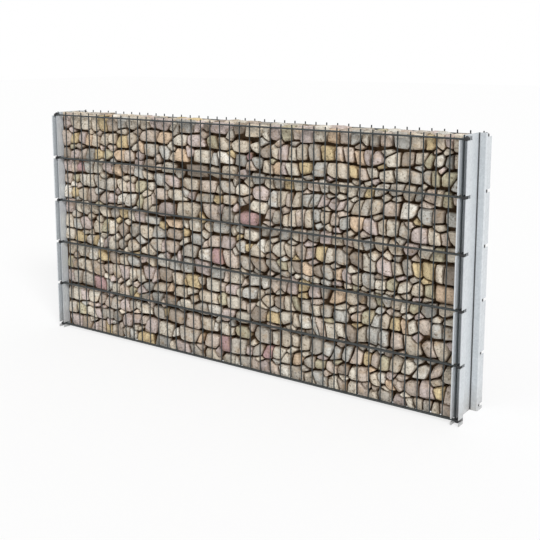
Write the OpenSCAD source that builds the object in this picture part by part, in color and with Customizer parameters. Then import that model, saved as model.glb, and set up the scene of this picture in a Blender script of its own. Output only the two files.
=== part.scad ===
// Slim gabion wall, one bay long: two folded steel posts, a double-rod
// welded mat hooked into them at the front and another at the rear, and
// stones packed between the two mats.
//
// Millimetres, +Z up. X runs along the wall, -Y is the front face. The
// origin is on the ground, at the middle of the wall's length and depth.

/* [Mats] */
// Distance between the two end uprights of a mat
bay_l = 2000; // [600:50:2500]
// Distance between the lowest and the highest rods of a mat
mat_h = 1000; // [400:50:1800]
// Wanted distance between neighbouring uprights
upright_pitch = 50; // [40:5:100]
// Diameter of an upright
upright_d = 5; // [4:0.5:6]
// Diameter of a horizontal rod
rod_d = 6; // [5:0.5:8]
// How far an upright and a rod melt into each other at a weld
weld_sink = 0.5; // [0.3:0.1:0.8]
// How far the rods run on past the end uprights
rod_over = 5; // [4:1:7]
// Height of the uprights' bare tips above the highest rods' centre
tip_h = 15; // [10:1:30]
// Height of the lowest rods' centre above the ground
foot_h = 15; // [12:1:60]

/* [Posts] */
// Depth of a post, from its front leg tips to its rear leg tips
post_d = 213; // [190:1:320]
// Width of a post along the wall
post_w = 33; // [30:1:45]
// Depth of each channel of a post, from leg tip to base
channel_d = 43; // [38:1:55]
// Thickness of the folded sheet
sheet_t = 2.5; // [2:0.5:3]
// Outer radius of the sheet's bends
bend_r = 6; // [4:0.5:8]
// Height of the notch that a pair of rods hooks into
notch_h = 12; // [9:1:20]
// Gap between a rod and the notch edge that it hangs on
seat_gap = 0.3; // [0.1:0.1:0.5]
// Distance from a post's stone-side leg to the end upright inside it
hook_in = 11; // [10:1:14]
// Distance from the leg tips back to the middle of the mat
mat_in = 19.5; // [15:0.5:22]
// How far the post's top stays below the uprights' tips
post_drop = 4; // [0:1:10]

/* [Stones] */
// Height of the stones above the highest rods' centre
heap_h = 5; // [0:1:15]
// Thickness of the hand-packed stones behind each mat
facing_t = 50; // [35:1:60]
// Gap between the stones and the steel
stone_gap = 0.5; // [0.3:0.1:0.8]

/* [Hidden] */

$fn = 48;
// The rods are modelled with this many flat sides
bar_sides = 8;
// Overlap that keeps a cut clear of the face it opens
cut = 1;
// The mitre where a bend runs into the web beside it
bend_lap = 0.3;

// The stones are laid in lifts, one between each two rod levels
lifts = 5;
lift_h = mat_h / lifts;
// Each mat is one welded piece, kept in this many stretches
stretches = 3;

// Uprights share the bay evenly
gaps = round(bay_l / upright_pitch);
pitch = bay_l / gaps;
wall_h = foot_h + mat_h + tip_h;
post_h = wall_h - post_drop;

// Rods lie on both sides of the uprights
rod_off = (upright_d + rod_d) / 2 - weld_sink;
mat_t = 2 * rod_off + rod_d;
mat_y = post_d / 2 - mat_in;
stone_y = mat_y - mat_t / 2 - stone_gap;

// The web of each post is on its left
leg_x = bay_l / 2 - hook_in;
post_left_x = -leg_x - post_w;
post_right_x = leg_x;
base_y = post_d / 2 - channel_d;
leg_top = foot_h + mat_h - rod_d / 2 - seat_gap;

steel = [0.76, 0.79, 0.81];
anthracite = [0.31, 0.34, 0.36];
limestone = [0.80, 0.74, 0.65];
shade = [0.34, 0.28, 0.22];

// ---- small helpers ----

function rod_z(level) = foot_h + level * lift_h;
function upright_x(i) = -bay_l / 2 + i * pitch;
function first_upright(s) = round(s * (gaps + 1) / stretches);

// Ends of a mat's stretch: half-way between uprights, or past the end ones
function stretch_x0(s) = s == 0
    ? upright_x(0) - rod_over
    : upright_x(first_upright(s)) - pitch / 2;
function stretch_x1(s) = s == stretches - 1
    ? upright_x(gaps) + rod_over
    : upright_x(first_upright(s + 1)) - pitch / 2;

// A straight bar along +Z with flats facing X and Y
module bar(d, l) {
    rotate([0, 0, 180 / bar_sides])
        cylinder(d = d / cos(180 / bar_sides), h = l, $fn = bar_sides);
}

module box(x0, x1, y0, y1, z0, z1) {
    translate([x0, y0, z0])
        cube([x1 - x0, y1 - y0, z1 - z0]);
}

// ---- posts ----

// Rectangle with its two corners at +Y rounded
module round_ended(w, d, r) {
    square([w, d - r]);
    translate([r, 0])
        square([w - 2 * r, d]);
    for (x = [r, w - r])
        translate([x, d - r])
            circle(r);
}

// One channel, open towards -Y, with its base at y = 0
module channel_profile(w, d) {
    difference() {
        translate([0, -d])
            round_ended(w, d, bend_r);
        translate([sheet_t, -d - cut])
            round_ended(w - 2 * sheet_t, d - sheet_t + cut, bend_r - sheet_t);
    }
}

// The whole fold: web on the left, doubled back on itself along the
// left legs, with a channel opening outwards at each end
module post_profile() {
    inset = sheet_t - bend_lap;
    translate([0, -post_d / 2])
        square([sheet_t, post_d]);
    for (side = [0, 1])
        mirror([0, side])
            translate([inset, -base_y])
                channel_profile(post_w - inset, channel_d);
}

// Cuts the legs, and not the bases, between two heights
module leg_cut(z0, z1) {
    for (side = [0, 1])
        mirror([0, side, 0])
            box(-cut, post_w + cut, -post_d / 2 - cut, -base_y - bend_r, z0, z1);
}

module post() {
    difference() {
        linear_extrude(post_h)
            post_profile();
        for (level = [0 : lifts - 1]) {
            z0 = rod_z(level) - rod_d / 2 - seat_gap;
            leg_cut(z0, z0 + notch_h);
        }
        leg_cut(leg_top, post_h + cut);
    }
}

module post_left() {
    color(steel)
        translate([post_left_x, 0, 0])
            post();
}

module post_right() {
    color(steel)
        translate([post_right_x, 0, 0])
            post();
}

// ---- mats ----

module uprights(s) {
    z0 = rod_z(0) - rod_d / 2;
    for (i = [first_upright(s) : first_upright(s + 1) - 1])
        translate([upright_x(i), 0, z0])
            bar(upright_d, wall_h - z0);
}

module rods(s) {
    x0 = stretch_x0(s);
    for (level = [0 : lifts], side = [-1, 1])
        translate([x0, side * rod_off, rod_z(level)])
            rotate([0, 90, 0])
                bar(rod_d, stretch_x1(s) - x0);
}

module mat(s, y) {
    color(anthracite)
        translate([0, y, 0])
            union() {
                uprights(s);
                rods(s);
            }
}

module front_mat_left() { mat(0, -mat_y); }
module front_mat_middle() { mat(1, -mat_y); }
module front_mat_right() { mat(2, -mat_y); }
module rear_mat_left() { mat(0, mat_y); }
module rear_mat_middle() { mat(1, mat_y); }
module rear_mat_right() { mat(2, mat_y); }

// ---- stones ----

// Bottom and top of a lift: the first starts on the ground and the last
// ends a little above the highest rods
function lift_z0(k) = k == 0 ? 0 : rod_z(k);
function lift_z1(k) = k == lifts - 1 ? rod_z(lifts) + heap_h : rod_z(k + 1);

module lift(k, y0, y1) {
    x1 = leg_x - stone_gap;
    box(-x1, x1, y0, y1, lift_z0(k), lift_z1(k));
}

module front_stones(k) {
    color(limestone)
        lift(k, -stone_y, -stone_y + facing_t);
}

module rear_stones(k) {
    color(limestone)
        lift(k, stone_y - facing_t, stone_y);
}

module core_stones(k) {
    color(shade)
        lift(k, -stone_y + facing_t, stone_y - facing_t);
}

// The stones that fill the left post's recess, as far as its web
module pocket_stones() {
    x0 = post_left_x + sheet_t + stone_gap;
    y = base_y - stone_gap;
    color(limestone)
        box(x0, -leg_x + stone_gap, -y, y, 0, rod_z(lifts) + heap_h);
}

post_left();
post_right();
front_mat_left();
front_mat_middle();
front_mat_right();
rear_mat_left();
rear_mat_middle();
rear_mat_right();
front_stones(0);  // front_stones_1
front_stones(1);  // front_stones_2
front_stones(2);  // front_stones_3
front_stones(3);  // front_stones_4
front_stones(4);  // front_stones_5
core_stones(0);  // core_stones_1
core_stones(1);  // core_stones_2
core_stones(2);  // core_stones_3
core_stones(3);  // core_stones_4
core_stones(4);  // core_stones_5
rear_stones(0);  // rear_stones_1
rear_stones(1);  // rear_stones_2
rear_stones(2);  // rear_stones_3
rear_stones(3);  // rear_stones_4
rear_stones(4);  // rear_stones_5
pocket_stones();
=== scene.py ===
import math
import random

import bpy
import numpy as np
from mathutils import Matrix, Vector, noise


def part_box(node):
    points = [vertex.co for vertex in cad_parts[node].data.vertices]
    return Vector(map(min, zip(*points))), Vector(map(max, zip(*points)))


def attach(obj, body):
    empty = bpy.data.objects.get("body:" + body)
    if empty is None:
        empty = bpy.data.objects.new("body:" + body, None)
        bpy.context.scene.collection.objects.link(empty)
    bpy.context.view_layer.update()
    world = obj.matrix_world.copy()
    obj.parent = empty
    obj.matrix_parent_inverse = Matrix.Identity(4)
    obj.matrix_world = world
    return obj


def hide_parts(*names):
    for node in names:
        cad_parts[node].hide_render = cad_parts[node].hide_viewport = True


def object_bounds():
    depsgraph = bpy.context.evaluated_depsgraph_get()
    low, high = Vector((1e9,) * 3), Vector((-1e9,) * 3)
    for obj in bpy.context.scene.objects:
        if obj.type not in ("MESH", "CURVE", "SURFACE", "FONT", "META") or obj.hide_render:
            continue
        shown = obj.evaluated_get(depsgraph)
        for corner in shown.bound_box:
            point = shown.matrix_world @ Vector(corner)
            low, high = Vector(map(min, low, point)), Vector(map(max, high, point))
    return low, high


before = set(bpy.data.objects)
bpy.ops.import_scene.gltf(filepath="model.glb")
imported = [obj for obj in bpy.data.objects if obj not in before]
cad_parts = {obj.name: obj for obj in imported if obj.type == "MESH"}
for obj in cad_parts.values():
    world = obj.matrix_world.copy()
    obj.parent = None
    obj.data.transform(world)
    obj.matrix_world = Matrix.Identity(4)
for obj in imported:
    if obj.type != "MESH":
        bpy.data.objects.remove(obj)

cad_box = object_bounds()


# ---- The two posts ----
# Each post is one 2.5 mm sheet of galvanised steel, notched and then folded into a web with a
# channel at its front and rear. The zinc has a fine spangle and faint draw lines up the sheet.
# Soil splashes its foot, and the inside corners of its folds and channels are darkened with
# painted shade.


def new_material(name):
    """A new material, its node tree and its shader."""
    material = bpy.data.materials.new(name)
    material.use_nodes = True
    return material, material.node_tree, material.node_tree.nodes["Principled BSDF"]


def add_node(tree, kind, gives, takes, operation=None, data_type=None):
    """Adds a node and returns the output that it gives. takes holds its inputs: another node's
    output is linked, and anything else is set as a value."""
    node = tree.nodes.new("ShaderNode" + kind)
    if operation:
        node.operation = operation
    if data_type:
        node.data_type = data_type
    for name, value in takes.items():
        if isinstance(value, bpy.types.NodeSocket):
            tree.links.new(value, node.inputs[name])
        else:
            node.inputs[name].default_value = value
    return node.outputs[gives]


def clouds(tree, place, scale, detail, roughness=0.5):
    """A soft random pattern: finer with more scale, busier with more detail and roughness."""
    takes = {"Vector": place, "Scale": scale, "Detail": detail, "Roughness": roughness}
    return add_node(tree, "TexNoise", "Fac", takes)


def work_out(tree, operation, *values):
    """One step of arithmetic on two or three values."""
    return add_node(tree, "Math", "Value", dict(enumerate(values)), operation)


def rescale(tree, value, from_low, from_high, to_low, to_high):
    """Moves a value from one range to another, and holds it inside the second."""
    takes = {
        "Value": value,
        "From Min": from_low,
        "From Max": from_high,
        "To Min": to_low,
        "To Max": to_high,
    }
    return add_node(tree, "MapRange", "Result", takes)


def colours(tree, value, stops, interpolation="LINEAR"):
    """Turns a value into a colour. stops are positions and their colours, from low to high."""
    node = tree.nodes.new("ShaderNodeValToRGB")
    node.color_ramp.interpolation = interpolation
    elements = node.color_ramp.elements
    for number, (position, colour) in enumerate(stops):
        stop = elements[number] if number < 2 else elements.new(position)
        stop.position = position
        stop.color = colour
    tree.links.new(value, node.inputs["Fac"])
    return node.outputs["Color"]


def cover(tree, amount, under, over):
    """Lays one colour over another, as much as amount says."""
    takes = {"Factor": amount, "A": under, "B": over}
    return add_node(tree, "Mix", "Result", takes, data_type="RGBA")


def times(tree, colour, amount):
    """Multiplies a colour or a place by one number."""
    return add_node(tree, "VectorMath", "Vector", {0: colour, "Scale": amount}, "SCALE")


def finish_surface(tree, shader, colour, relief, strength, depth, dullness=None):
    """Joins the colour, the fine relief and, where it varies, the dullness to the shader."""
    takes = {"Height": relief, "Strength": strength, "Distance": depth}
    tree.links.new(colour, shader.inputs["Base Color"])
    tree.links.new(add_node(tree, "Bump", "Normal", takes), shader.inputs["Normal"])
    if dullness is not None:
        tree.links.new(dullness, shader.inputs["Roughness"])


galvanised, tree, shader = new_material("galvanised_sheet")
shader.inputs["Metallic"].default_value = 0.35
place = add_node(tree, "TexCoord", "Object", {})
spangle = add_node(tree, "TexVoronoi", "Color", {"Vector": place, "Scale": 140.0})
crystal_tone = add_node(tree, "SeparateColor", "Red", {"Color": spangle})
crystal_shine = add_node(tree, "SeparateColor", "Green", {"Color": spangle})
up_sheet = add_node(tree, "Mapping", "Vector", {"Vector": place, "Scale": (260.0, 260.0, 3.0)})
draw_lines = work_out(tree, "MULTIPLY", clouds(tree, up_sheet, 1.0, 3.0), 0.42)
patchy = work_out(tree, "MULTIPLY_ADD", clouds(tree, place, 9.0, 5.0), 0.30, draw_lines)
mixed = work_out(tree, "MULTIPLY_ADD", crystal_tone, 0.28, patchy)
zinc_stops = ((0.30, (0.575, 0.605, 0.628, 1)), (0.72, (0.690, 0.722, 0.742, 1)))
zinc = colours(tree, mixed, zinc_stops)

height = add_node(tree, "SeparateXYZ", "Z", {"Vector": place})
splash = rescale(tree, height, 0.0, 0.11, 0.62, 0.0)
soil_there = work_out(tree, "MULTIPLY", splash, clouds(tree, place, 75.0, 6.0))
soiled = cover(tree, soil_there, zinc, (0.24, 0.18, 0.12, 1))

# Painted shade: an occlusion node darkens the zinc within 9 mm of its own inside corners, in the
# folds and channels.
folds = tree.nodes.new("ShaderNodeAmbientOcclusion")
folds.only_local = True
folds.samples = 12
folds.inputs["Distance"].default_value = 0.009
painted_fold_shade = rescale(tree, folds.outputs["AO"], 0.62, 0.86, 0.34, 1.0)
dull = rescale(tree, crystal_shine, 0.0, 1.0, 0.36, 0.56)
finish_surface(tree, shader, times(tree, soiled, painted_fold_shade), mixed, 0.12, 0.0006, dull)

for post in ("post_left", "post_right"):
    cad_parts[post].data.materials.clear()
    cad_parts[post].data.materials.append(galvanised)


# ---- The inner stones ----
# The middle of the wall is tipped full of the same broken limestone. It is only seen at the bottom
# of the joints, so it is coloured dark earthy brown as painted shade, and its four lower lifts
# stay plain blocks.
inner_stone_shaded, tree, shader = new_material("inner_stone_shaded")
shader.inputs["Roughness"].default_value = 0.95
place = add_node(tree, "TexCoord", "Object", {})
lumps = add_node(tree, "TexVoronoi", "Distance", {"Vector": place, "Scale": 26.0})
# Painted shade: dark browns for limestone that lies in the shade at the bottom of the joints.
painted_shade_stops = ((0.0, (0.225, 0.138, 0.070, 1)), (1.0, (0.098, 0.057, 0.027, 1)))
painted_shade_brown = colours(tree, lumps, painted_shade_stops)
finish_surface(tree, shader, painted_shade_brown, clouds(tree, place, 120.0, 6.0), 0.7, 0.004)

for lift in (1, 2, 3, 4):
    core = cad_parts[f"core_stones_{lift}"]
    core.data.materials.clear()
    core.data.materials.append(inner_stone_shaded)


# ---- The facing stones ----
# Broken, slightly worn limestone, mostly 30 to 80 mm across, packed by hand face to face behind
# each mat. Most are beige and cream, some pinkish or grey, a few ochre, olive or mauve. Each stone
# is its own shape, knocked flat on its face, and darkened where it meets its neighbours, partly
# with dirt and partly with painted shade.


def linear(red, green, blue):
    """A paint colour from 0 to 255 as the shader's linear values."""
    parts = []
    for value in (red, green, blue):
        share = value / 255
        parts.append(share / 12.92 if share < 0.04045 else ((share + 0.055) / 1.055) ** 2.4)
    return (*parts, 1)


def stone_value(tree, name, gives="Fac"):
    """Reads a value that each stone carries on its points."""
    attribute = tree.nodes.new("ShaderNodeAttribute")
    attribute.attribute_name = name
    return attribute.outputs[gives]


# Each kind's position says where its share of the stones begins.
stone_kinds = (
    (0.00, linear(207, 196, 179)),
    (0.16, linear(216, 208, 193)),
    (0.31, linear(205, 191, 178)),
    (0.44, linear(201, 187, 181)),
    (0.56, linear(189, 182, 171)),
    (0.67, linear(196, 194, 187)),
    (0.75, linear(208, 189, 150)),
    (0.80, linear(189, 182, 157)),
    (0.85, linear(168, 156, 143)),
    (0.91, linear(227, 222, 211)),
    (0.95, linear(215, 191, 165)),
    (0.972, linear(158, 156, 150)),
    (0.99, linear(186, 155, 154)),
)
limestone, tree, shader = new_material("limestone")
shader.inputs["Roughness"].default_value = 0.86
shader.inputs["Specular IOR Level"].default_value = 0.3
kind_colour = colours(tree, stone_value(tree, "stone_kind"), stone_kinds, "CONSTANT")

# Every stone has its own piece of the pattern, so that no vein runs on into its neighbour.
apart = times(tree, stone_value(tree, "stone_number", "Vector"), 0.37)
place = add_node(tree, "TexCoord", "Object", {})
place = add_node(tree, "VectorMath", "Vector", {0: place, 1: apart}, "ADD")

stain = clouds(tree, place, 34.0, 6.0, 0.62)
stain_there = rescale(tree, stain, 0.50, 0.78, 0.0, 0.75)
stained = cover(tree, stain_there, kind_colour, linear(168, 138, 98))

bed = {"Vector": place, "Rotation": (0.2, 0.35, 0.1), "Scale": (9, 9, 46)}
layers = clouds(tree, add_node(tree, "Mapping", "Vector", bed), 3.0, 5.0)
speckle = clouds(tree, place, 125.0, 7.0, 0.68)
fleck = work_out(tree, "MULTIPLY_ADD", speckle, 1.50, 0.16)
tint = work_out(tree, "MULTIPLY_ADD", layers, 0.42, fleck)
light_or_dark = work_out(tree, "MULTIPLY", stone_value(tree, "stone_shade"), tint)
weathered = times(tree, stained, light_or_dark)

pock_there = rescale(tree, clouds(tree, place, 105.0, 3.0), 0.58, 0.68, 0.0, 0.70)
pocked = cover(tree, pock_there, weathered, linear(118, 98, 72))

# Painted shade with dirt: the stones turn dark brown towards their backs, into the joints, where
# shade falls.
ragged = work_out(tree, "MULTIPLY_ADD", stain, 0.5, -0.25)
edge = work_out(tree, "ADD", stone_value(tree, "stone_joint_shade_and_dirt"), ragged)
shade_and_dirt_there = rescale(tree, edge, 0.24, 0.85, 0.0, 0.92)
shaded_and_dirty = cover(tree, shade_and_dirt_there, pocked, linear(114, 82, 46))

pits = clouds(tree, place, 95.0, 8.0, 0.65)
pits_and_pocks = work_out(tree, "MULTIPLY_ADD", pock_there, -0.35, pits)
finish_surface(tree, shader, shaded_and_dirty, pits_and_pocks, 0.8, 0.006)

# The pattern stone: a block of twelve sides with a nearly flat face, a worn edge and straight
# sides. Every stone is a copy of it, drawn out to the room that the stone has.
bpy.ops.object.select_all(action="DESELECT")
bpy.ops.mesh.primitive_circle_add(vertices=12, radius=0.80, fill_type="NGON", location=(0, 0, -1))
pattern_stone = bpy.context.object
bpy.ops.object.transform_apply(location=True, rotation=True, scale=True)
bpy.ops.object.mode_set(mode="EDIT")
bpy.ops.mesh.select_all(action="SELECT")
for rise, spread_out in ((0.50, 1.25), (1.00, 1.00), (0.38, 0.87), (0.12, 0.62)):
    bpy.ops.mesh.extrude_region_move(TRANSFORM_OT_translate={"value": (0, 0, rise)})
    bpy.ops.transform.resize(value=(spread_out, spread_out, 1))
bpy.ops.mesh.select_all(action="SELECT")
bpy.ops.mesh.normals_make_consistent(inside=False)
bpy.ops.object.mode_set(mode="OBJECT")

# Its points are numbered ring by ring from the back, and round each ring from the +X side, so
# that the same stone always gets the same chips.
block = np.array([v.co for v in pattern_stone.data.vertices])
block_side = np.round(np.arctan2(block[:, 1], block[:, 0]) / (math.pi / 6)).astype(int) % 12
in_rings = np.lexsort((block_side, np.round(block[:, 2], 2)))
new_number = np.argsort(in_rings)
block = block[in_rings]
block_side = block_side[in_rings]
block_width = np.hypot(block[:, 0], block[:, 1])
block_faces = []
for flat_side in pattern_stone.data.polygons:
    ring = [int(new_number[v]) for v in flat_side.vertices]
    first = ring.index(min(ring))
    block_faces.append(ring[first:] + ring[:first])
block_faces.sort()
bpy.data.objects.remove(pattern_stone)

lifts = (1, 2, 3, 4, 5)
lift_boxes = {lift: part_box(f"front_stones_{lift}") for lift in lifts}
stones_low, stones_high = lift_boxes[1][0], lift_boxes[5][1]
stones_length = stones_high.x - stones_low.x
top_course = stones_high.z - 0.05

# The bars of the mats. A stone rests on the uprights, or on a pair of level rods where it
# reaches over one.
upright_d, level_rod_d = 0.005, 0.006
level_pitch, levels = 0.200, 6
mat_low, mat_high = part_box("front_mat_middle")
rod_heights = [mat_low.z + level_rod_d / 2 + level_pitch * level for level in range(levels)]
hair_gap = 0.0002
uprights_back = -(mat_low.y + mat_high.y) / 2 - upright_d / 2 - hair_gap

# The patches run into each other by so much. A stone is shaped by the neighbours whose middles
# are near enough, and keeps its least reach. A chip needs room from its middle to the next
# middle, and to the edge of the next stone.
patch_overlap, end_room = 0.055, 0.012
neighbours_within, least_reach = 0.24, 0.007
chip_tries, chip_from_edge = 5000, 0.02
chip_apart, chip_reach = 0.030, 0.008

# The courses drift in waves this high, along and up, and lie true over the last stretch before
# an end, the ground and the top.
drift_along, drift_up, true_stretch = 0.040, 0.020, 0.10


def lay_in_courses(dice, length, top, bands):
    """The stones of one face of the wall, course by course: for each its middle, its size, the
    numbers of its patch and course, and the foot and head of the course. bands are the patches
    that the mason's stones run in: (from, to, stone width, stone height)."""
    laid = []
    for patch, (start, end, width, tall) in enumerate(bands):
        courses = round(top / tall)
        heights = [dice.uniform(0.84, 1.16) for _ in range(courses)]
        unit = top / sum(heights)
        base = 0.0
        for course, share in enumerate(heights):
            foot, middle = base, base + share * unit / 2
            base += share * unit
            flat = share < 0.90 and width > 0.07
            along, finish = start, end
            if start > -length / 2:
                along += dice.uniform(-patch_overlap, patch_overlap)
            if end < length / 2:
                finish += dice.uniform(-patch_overlap, patch_overlap)
            while along < finish - 0.3 * width:
                wide = width * dice.uniform(0.62, 1.38) * (1.6 if flat else 1)
                spot = (along + wide / 2, middle + dice.uniform(-0.007, 0.007))
                near = [s for s in laid if math.dist(s[:2], spot) < 0.5 * min(wide, tall)]
                if not near and abs(spot[0]) < length / 2 - end_room:
                    size = 0.5 * math.sqrt(wide * share * unit)
                    laid.append((*spot, size, patch, course, foot, base))
                along += wide
    # Chips are wedged where three or four stones leave a hole.
    widest, highest = length / 2 - chip_from_edge, top - chip_from_edge
    for _ in range(chip_tries):
        spot = (dice.uniform(-widest, widest), dice.uniform(chip_from_edge, highest))
        size = dice.uniform(0.010, 0.019)
        for stone in laid:
            away = math.dist(stone[:2], spot)
            if away < chip_apart:
                break
            if away / 2 + (size**2 - stone[2] ** 2) / (2 * away) < chip_reach:
                break
        else:
            laid.append((*spot, size, -1, -1, 0.0, top))
    return laid


def settle(points, length, top, salt):
    """The courses aren't level and the stones lean on each other: this drifts them in waves,
    less and less towards the ends, the ground and the top."""
    for point in points:
        inside = min(1, (length / 2 - abs(point[0])) / true_stretch)
        between = min(1, point[1] / true_stretch, (top - point[1]) / true_stretch)
        if inside > 0 and between > 0:
            spot = Vector((point[0] * 4.5, point[1] * 8.0, salt + 0.37))
            point[0] += drift_along * inside * noise.noise(spot)
            point[1] += drift_up * between * noise.noise(spot + Vector((0, 0, 5.31)))
    return points


def outline(reach, facing, corner):
    """The edge of a stone that has so much reach in each facing: twelve points, closest together
    round its corners. A high corner number makes the corners sharp."""
    turn = np.linspace(0, 2 * math.pi, 73)
    leaning = np.maximum(np.cos(turn[:, None] - facing[None, :]), 0) / reach[None, :]
    radius = (leaning**corner).sum(1) ** (-1 / corner)
    step = np.diff(np.stack([radius * np.cos(turn), radius * np.sin(turn)], 1), axis=0)
    length = np.hypot(step[:, 0], step[:, 1])
    heading = np.unwrap(np.arctan2(step[:, 1], step[:, 0]))
    bend = np.abs(np.diff(heading, append=heading[0] + 2 * math.pi))
    share = 0.45 * length / length.sum() + 0.55 * bend / bend.sum()
    along_edge = np.concatenate([[0], np.cumsum(share)])
    picked = np.interp((np.arange(12) + 0.5) / 12, along_edge, turn)
    return picked, np.interp(picked, turn, radius)


def shape_stones(dice, laid, limits, joint_gap):
    """One copy of the pattern stone for each middle, drawn out until it meets its neighbours.
    Gives each stone's number, its middle, and its points: along the face, up it, and out of it
    from -1 to 1."""
    laid = np.array(laid)
    low, high = limits
    shaped = []
    for number, (along, up, size, patch, course, foot, head) in enumerate(laid):
        gap = laid[:, :2] - (along, up)
        away = np.hypot(gap[:, 0], gap[:, 1])
        beside = (laid[:, 3] != patch) | (laid[:, 4] == course)
        near = (away > 0) & (away < neighbours_within) & beside
        weight = (size**2 - laid[near, 2] ** 2) * 0.5
        reach = away[near] / 2 + weight / away[near]
        facing = np.arctan2(gap[near, 1], gap[near, 0])
        at_top = head > high[1] - 0.001
        above = dice.uniform(0.001, 0.009) if at_top else dice.uniform(-0.003, 0.002)
        below = dice.uniform(-0.002, 0.003) if foot > low[1] + 0.001 else 0
        sides = np.array([high[0] - along, head + above - up, along - low[0], up - foot - below])
        reach = np.concatenate([reach, sides])
        facing = np.concatenate([facing, [0, math.pi / 2, math.pi, -math.pi / 2]])
        reach = np.maximum(reach - joint_gap * dice.uniform(0.3, 0.9), least_reach)
        turn, radius = outline(reach, facing, dice.uniform(9, 20))
        worn = np.array([dice.uniform(0.95, 1.0) for _ in block])
        wide = block_width * radius[block_side] * worn
        lift = np.array([dice.uniform(-0.05, 0.0) for _ in block])
        turned = turn[block_side]
        points = np.stack([wide * np.cos(turned), wide * np.sin(turned), block[:, 2] + lift], 1)
        shaped.append((number, along, up, points))
    return shaped


def knock_flat(dice, points, chips):
    """Breaks a few flat chips off a stone, each square to its own direction."""
    for _ in range(chips):
        round_it = dice.uniform(0, 2 * math.pi)
        lean = dice.uniform(0.25, 1.15)
        sideways = math.sin(lean)
        way = np.array(
            [sideways * math.cos(round_it), sideways * math.sin(round_it), math.cos(lean)]
        )
        along_way = points @ way
        limit = along_way.max() * dice.uniform(0.74, 0.92)
        over = np.maximum(along_way - limit, 0)
        points = points - over[:, None] * way
    return points


def make_stones(name, dice, shaped, outward, face, depth, first_number):
    """Turns shaped stones into one piece. outward is the axis that they look out along: "-Y",
    "+Y" or "+Z". face is where their fronts lie on it and depth how thick they are."""
    corners = []
    faces = []
    kind, number, shade_of, joint_shade_and_dirt = [], [], [], []
    for count, (own_number, along, up, points) in enumerate(shaped):
        half = dice.uniform(*depth) / 2
        stone = points * (1, 1, half)
        stone = knock_flat(dice, stone, dice.choice((1, 2, 3)))
        salt = Vector((own_number * 1.7 + first_number, 3.1, 7.7))
        lumpy = np.array([noise.noise(Vector(p) * 38 + salt) for p in stone])
        stone = stone * (1 - 0.10 * np.abs(lumpy))[:, None]
        tilt = (dice.uniform(-0.10, 0.10), dice.uniform(-0.10, 0.10))
        stone[:, 2] += stone[:, 0] * tilt[0] + stone[:, 1] * tilt[1]
        stone = stone + (along, up, 0)
        held_at = face
        if outward != "+Z":
            stone = settle(stone, stones_length, stones_high.z, first_number)
            foot, head = stone[:, 1].min() - 0.005, stone[:, 1].max() + 0.005
            over_rods = any(foot < z < head for z in rod_heights)
            held_at = face if over_rods else uprights_back
        set_back = dice.choice((0.0, 0.0005, 0.002, 0.004, 0.006))
        stone[:, 2] += held_at - stone[:, 2].max() - set_back
        if outward == "-Y":
            stone = np.stack([stone[:, 0], -stone[:, 2], stone[:, 1]], 1)
        elif outward == "+Y":
            stone = np.stack([-stone[:, 0], stone[:, 2], stone[:, 1]], 1)
        faces += [[corner + len(block) * count for corner in one] for one in block_faces]
        corners.append(stone)
        # Painted shade and dirt for the joints: more the further back a point lies from the face.
        # The top course keeps its upper edge clean, since it is lit from above.
        edge_shade_and_dirt = np.clip(1 - points[:, 2], 0, 1) ** 1.5
        if outward != "+Z" and up > top_course:
            upward = np.maximum(points[:, 1], 0) / points[:, 1].max()
            edge_shade_and_dirt = edge_shade_and_dirt * np.clip(1 - 1.6 * upward, 0, 1)
        joint_shade_and_dirt.append(edge_shade_and_dirt)
        kind += [dice.random()] * len(block)
        shade_of += [dice.uniform(0.80, 1.10)] * len(block)
        number += [(own_number + first_number) % 97 + dice.random()] * len(block)
    mesh = bpy.data.meshes.new(name)
    mesh.from_pydata(np.concatenate(corners).tolist(), [], faces)
    mesh.materials.append(limestone)
    for attribute, values in (
        ("stone_kind", kind),
        ("stone_shade", shade_of),
        ("stone_number", number),
        ("stone_joint_shade_and_dirt", np.concatenate(joint_shade_and_dirt)),
    ):
        mesh.attributes.new(attribute, "FLOAT", "POINT").data.foreach_set("value", values)
    piece = bpy.data.objects.new(name, mesh)
    bpy.context.collection.objects.link(piece)
    bpy.ops.object.select_all(action="DESELECT")
    bpy.context.view_layer.objects.active = piece
    piece.select_set(True)
    bpy.ops.object.shade_smooth_by_angle(angle=math.radians(38))
    return piece


# The middle patch of the front is laid in long low stones, the others in short tall ones.
front_bands = (
    (stones_low.x, -0.50, 0.052, 0.068),
    (-0.50, 0.10, 0.092, 0.060),
    (0.10, stones_high.x, 0.047, 0.067),
)
rear_bands = (
    (stones_low.x, -0.62, 0.056, 0.064),
    (-0.62, -0.15, 0.092, 0.061),
    (-0.15, 0.45, 0.055, 0.067),
    (0.45, stones_high.x, 0.075, 0.060),
)
facing_gap, facing_depth = 0.0047, (0.042, 0.056)
for side, outward, bands, seed in (
    ("front", "-Y", front_bands, 11),
    ("rear", "+Y", rear_bands, 29),
):
    dice = random.Random(seed)
    laid = lay_in_courses(dice, stones_length, stones_high.z, bands)
    limits = ((stones_low.x, 0.0), (stones_high.x, stones_high.z))
    shaped = shape_stones(dice, laid, limits, facing_gap)
    face = max(abs(corner.y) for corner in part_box(f"{side}_stones_1"))
    for lift in lifts:
        # A stone belongs to the lift that its middle is in.
        foot = lift_boxes[lift][0].z if lift > lifts[0] else -math.inf
        head = lift_boxes[lift][1].z if lift < lifts[-1] else math.inf
        in_lift = [stone for stone in shaped if foot <= stone[2] < head]
        name = f"{side}_facing_{lift}"
        piece = make_stones(name, dice, in_lift, outward, face, facing_depth, seed * 10)
        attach(piece, "root")
        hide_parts(f"{side}_stones_{lift}")
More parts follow.
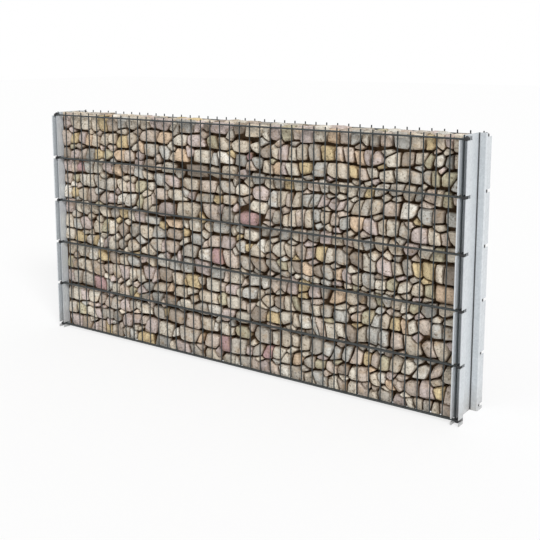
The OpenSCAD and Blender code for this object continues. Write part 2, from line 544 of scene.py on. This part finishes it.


# ---- The top of the middle, and the stones in the left post ----
# The same stones close the top of the wall between the two facings, and the recess of the left
# post as far as its web. They lie loose on a packed block of the inner stone, which fills the
# lower part of the imported piece that they replace.
loose_deep, proud, side_play = 0.045, 0.009, 0.006
loose_size, loose_gap = 0.026, 0.0035
for name, node, seed, pitch in (
    ("middle_top", "core_stones_5", 47, 0.058),
    ("left_post_stones", "pocket_stones", 53, 0.040),
):
    low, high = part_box(node)
    packed_top = high.z - loose_deep
    dice = random.Random(seed)
    bpy.ops.object.select_all(action="DESELECT")
    bpy.ops.mesh.primitive_cube_add(
        size=1,
        location=((low.x + high.x) / 2, (low.y + high.y) / 2, (low.z + packed_top) / 2),
        scale=(high.x - low.x, high.y - low.y - side_play, packed_top - low.z),
    )
    packing = bpy.context.object
    bpy.ops.object.transform_apply(location=True, rotation=True, scale=True)
    bpy.ops.object.mode_set(mode="EDIT")
    bpy.ops.mesh.subdivide(number_cuts=6)
    bpy.ops.object.mode_set(mode="OBJECT")
    # The packed block is the dark inner stone too: painted shade seen in the gaps between the
    # loose stones.
    packing.data.materials.append(inner_stone_shaded)

    long_way = high.x - low.x > high.y - low.y
    start, end = (low.x, high.x) if long_way else (low.y, high.y)
    across = (low.y + high.y) / 2 if long_way else (low.x + high.x) / 2
    laid = []
    along = start + 0.010
    while along < end - 0.5 * pitch:
        wide = pitch * dice.uniform(0.62, 1.45)
        wander = dice.uniform(-0.009, 0.009) if long_way else 0.0
        spot = (along + wide / 2, across + wander)
        if spot[0] < end - end_room:
            spot = spot if long_way else spot[::-1]
            laid.append((*spot, loose_size, -1, -1, low.y, high.y - 0.002))
        along += wide
    limits = ((low.x, low.y), (high.x, high.y))
    shaped = shape_stones(dice, laid, limits, loose_gap)
    piece = make_stones(name, dice, shaped, "+Z", high.z + proud, (0.048, 0.060), seed * 10)
    bpy.ops.object.select_all(action="DESELECT")
    packing.select_set(True)
    piece.select_set(True)
    bpy.context.view_layer.objects.active = piece
    bpy.ops.object.join()
    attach(piece, "root")
    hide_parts(node)


# ---- The mats ----
# Each side is one welded mat: 5 mm upright rods at 50 mm, held between pairs of 6 mm level rods
# at 200 mm, galvanised and then powder coated in a satin anthracite. A small bead of metal is
# squeezed out at each weld, and the uprights end in short bare tips above the highest pair.
powder_coat, tree, shader = new_material("anthracite_powder_coat")
place = add_node(tree, "TexCoord", "Object", {})
coat_stops = ((0.32, linear(38, 44, 46)), (0.70, linear(54, 61, 63)))
coat = colours(tree, clouds(tree, place, 14.0, 5.0), coat_stops)
dust = clouds(tree, place, 160.0, 5.0)
normal = add_node(tree, "NewGeometry", "Normal", {})
facing_up = add_node(tree, "SeparateXYZ", "Z", {"Vector": normal})
lying = rescale(tree, facing_up, 0.35, 1.0, 0.0, 0.5)
dust_there = work_out(tree, "MULTIPLY", lying, dust)
dusty = cover(tree, dust_there, coat, linear(118, 114, 106))
satin = rescale(tree, dust, 0.0, 1.0, 0.38, 0.62)
orange_peel = clouds(tree, place, 900.0, 2.0)
finish_surface(tree, shader, dusty, orange_peel, 0.25, 0.0004, satin)

upright_pitch, rod_overhang = 0.050, 0.005
bead_wide, bead_thick = 0.0034, 0.0014


def repeat(thing, count, step):
    """Copies a rod, a weld bead or a clip along a row, a fixed step apart."""
    row = thing.modifiers.new("row", "ARRAY")
    row.count = count
    row.use_relative_offset = False
    row.use_constant_offset = True
    row.constant_offset_displace = step
    bpy.context.view_layer.objects.active = thing
    bpy.ops.object.modifier_apply(modifier=row.name)


def soften_ends(rod, axis, ends):
    """Bevels the cut edges of a rod's ends, which lie at those places on the axis."""
    bpy.context.view_layer.objects.active = rod
    bpy.ops.object.mode_set(mode="EDIT")
    bpy.ops.mesh.select_mode(type="EDGE")
    bpy.ops.mesh.select_all(action="DESELECT")
    bpy.ops.object.mode_set(mode="OBJECT")
    for line in rod.data.edges:
        at = [rod.data.vertices[v].co[axis] for v in line.vertices]
        line.select = any(all(abs(a - end) < 1e-5 for a in at) for end in ends)
    bpy.ops.object.mode_set(mode="EDIT")
    bpy.ops.mesh.bevel(offset=0.0007, segments=1, affect="EDGES")
    bpy.ops.object.mode_set(mode="OBJECT")


for node in (
    "front_mat_left", "front_mat_middle", "front_mat_right",
    "rear_mat_left", "rear_mat_middle", "rear_mat_right",
):
    low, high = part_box(node)
    middle_y = (low.y + high.y) / 2
    rod_y = (high.y - low.y - level_rod_d) / 2
    lowest = low.z + level_rod_d / 2
    count = round((high.x - low.x) / upright_pitch)
    first_x = low.x + (rod_overhang if node.endswith("left") else upright_pitch / 2)

    bpy.ops.object.select_all(action="DESELECT")
    bpy.ops.mesh.primitive_cylinder_add(
        vertices=12, radius=upright_d / 2, depth=high.z - low.z,
        location=(first_x, middle_y, (low.z + high.z) / 2),
    )
    uprights = bpy.context.object
    bpy.ops.object.transform_apply(location=True, rotation=True, scale=True)
    soften_ends(uprights, 2, (low.z, high.z))
    repeat(uprights, count, (upright_pitch, 0, 0))

    bpy.ops.object.select_all(action="DESELECT")
    bpy.ops.mesh.primitive_cylinder_add(
        vertices=14, radius=level_rod_d / 2, depth=high.x - low.x, rotation=(0, math.pi / 2, 0),
        location=((low.x + high.x) / 2, middle_y - rod_y, lowest),
    )
    level_rods = bpy.context.object
    bpy.ops.object.transform_apply(location=True, rotation=True, scale=True)
    if not node.endswith("middle"):
        soften_ends(level_rods, 0, (low.x if node.endswith("left") else high.x,))
    repeat(level_rods, 2, (0, 2 * rod_y, 0))
    repeat(level_rods, levels, (0, 0, level_pitch))

    bpy.ops.object.select_all(action="DESELECT")
    bpy.ops.mesh.primitive_uv_sphere_add(
        segments=8, ring_count=5, radius=1, rotation=(math.pi / 2, 0, 0),
        location=(first_x, middle_y - rod_y / 2, lowest), scale=(bead_wide, bead_wide, bead_thick),
    )
    weld_beads = bpy.context.object
    bpy.ops.object.transform_apply(location=True, rotation=True, scale=True)
    repeat(weld_beads, count, (upright_pitch, 0, 0))
    repeat(weld_beads, 2, (0, rod_y, 0))
    repeat(weld_beads, levels, (0, 0, level_pitch))

    bpy.ops.object.select_all(action="DESELECT")
    for part in (uprights, level_rods, weld_beads):
        part.select_set(True)
    bpy.context.view_layer.objects.active = uprights
    bpy.ops.object.join()
    uprights.name = uprights.data.name = node.replace("mat", "rods")
    bpy.ops.object.shade_smooth_by_angle(angle=math.radians(40))
    uprights.data.materials.append(powder_coat)
    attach(uprights, "root")
    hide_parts(node)


# ---- The rod end clips ----
# A black nylon clip is pushed over the two rod ends at each level, inside the post's channel. Its
# pointed barb snaps up behind the notch, so the mat can't be lifted out again.
nylon, tree, shader = new_material("black_nylon")
place = add_node(tree, "TexCoord", "Object", {})
moulded = clouds(tree, place, 600.0, 4.0)
black_stops = ((0.0, (0.008, 0.008, 0.009, 1)), (1.0, (0.022, 0.022, 0.023, 1)))
sheen = rescale(tree, moulded, 0.0, 1.0, 0.40, 0.62)
finish_surface(tree, shader, colours(tree, moulded, black_stops), moulded, 0.3, 0.0003, sheen)

clip_length, clip_depth, clip_height, barb_height = 0.0132, 0.0235, 0.0110, 0.0050
clip_overlap = 0.002
for side in ("front", "rear"):
    for end, way in (("left", -1), ("right", 1)):
        low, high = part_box(f"{side}_mat_{end}")
        rods_end = low.x if end == "left" else high.x
        middle_x = rods_end + way * (clip_length / 2 - clip_overlap)
        middle_y = (low.y + high.y) / 2
        bpy.ops.object.select_all(action="DESELECT")
        bpy.ops.mesh.primitive_cube_add(
            size=1, location=(middle_x, middle_y, low.z + level_rod_d / 2),
            scale=(clip_length, clip_depth, clip_height),
        )
        clips = bpy.context.object
        clips.name = clips.data.name = f"rod_end_clips_{side}_{end}"
        bpy.ops.object.transform_apply(location=True, rotation=True, scale=True)
        bpy.ops.object.mode_set(mode="EDIT")
        bpy.ops.mesh.select_mode(type="FACE")
        bpy.ops.mesh.select_all(action="DESELECT")
        bpy.ops.object.mode_set(mode="OBJECT")
        for side_of in clips.data.polygons:
            side_of.select = side_of.normal.z > 0.9
        bpy.ops.object.mode_set(mode="EDIT")
        bpy.ops.mesh.inset(thickness=0.0022)
        bpy.ops.mesh.extrude_region_move(TRANSFORM_OT_translate={"value": (0, 0, barb_height)})
        bpy.ops.transform.resize(value=(0.8, 0.22, 1))
        bpy.ops.mesh.select_all(action="SELECT")
        bpy.ops.mesh.bevel(offset=0.0007, segments=2, affect="EDGES")
        bpy.ops.object.mode_set(mode="OBJECT")
        repeat(clips, levels, (0, 0, level_pitch))
        bpy.ops.object.shade_smooth_by_angle(angle=math.radians(35))
        clips.data.materials.append(nylon)
        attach(clips, "root")


# ---- The studio ----
# A white paper floor under an even white sky, both brighter where they are seen than where they
# light the wall, and one broad soft lamp above and to the right.


def seen_itself(tree):
    """1 where the white is seen, straight, in a shine or through glass, and 0 where it lights."""
    ray = tree.nodes.new("ShaderNodeLightPath").outputs
    seen = work_out(tree, "MAXIMUM", ray["Is Camera Ray"], ray["Is Glossy Ray"])
    return work_out(tree, "MAXIMUM", seen, ray["Is Transmission Ray"])


floor_white, tree, shader = new_material("studio_floor")
tree.nodes.remove(shader)
paper = add_node(tree, "BsdfDiffuse", "BSDF", {"Color": (0.86, 0.86, 0.86, 1)})
glow = add_node(tree, "Emission", "Emission", {"Strength": 1.055})
seen_paper = add_node(tree, "MixShader", "Shader", {"Fac": 0.30, 1: glow, 2: paper})
white = {"Fac": seen_itself(tree), 1: paper, 2: seen_paper}
white = add_node(tree, "MixShader", "Shader", white)
tree.links.new(white, tree.nodes["Material Output"].inputs["Surface"])

bpy.ops.object.select_all(action="DESELECT")
bpy.ops.mesh.primitive_plane_add(size=60, location=(0, 0, cad_box[0][2] - 0.0005))
floor = bpy.context.object
floor.name = "floor"
floor.data.materials.append(floor_white)

sky = bpy.data.worlds.new("even_sky")
bpy.context.scene.world = sky
sky.use_nodes = True
tree = sky.node_tree
lighting = tree.nodes["Background"]
lighting.inputs["Color"].default_value = (1, 1, 1, 1)
lighting.inputs["Strength"].default_value = 0.62
backdrop = add_node(tree, "Background", "Background", {"Color": (1, 1, 1, 1), "Strength": 1.0})
white = {"Fac": seen_itself(tree), 1: lighting.outputs["Background"], 2: backdrop}
white = add_node(tree, "MixShader", "Shader", white)
tree.links.new(white, tree.nodes["World Output"].inputs["Surface"])

bpy.ops.object.light_add(type="SUN", location=(3, -4, 5))
lamp = bpy.context.object
lamp.name = "soft_lamp"
lamp.data.energy = 1.9
lamp.data.angle = math.radians(16)
lamp.rotation_euler = Vector((1.0, -0.72, 0.85)).to_track_quat("Z", "Y").to_euler()


# ---- The camera ----
# It stands about 3 m in front of the wall and 2.2 m to the right of its middle, a little above
# its top, and looks slightly down.
camera_data = bpy.data.cameras.new("camera")
camera = bpy.data.objects.new("camera", camera_data)
bpy.context.collection.objects.link(camera)
camera.location = (2.199, -2.947, 1.314)
camera.rotation_euler = (math.radians(90 - 8.81), 0, math.radians(34.97))
camera_data.sensor_width = 36
camera_data.lens = 60
camera_data.shift_y = -0.15
bpy.context.scene.camera = camera
bpy.context.scene.view_settings.view_transform = "Standard"
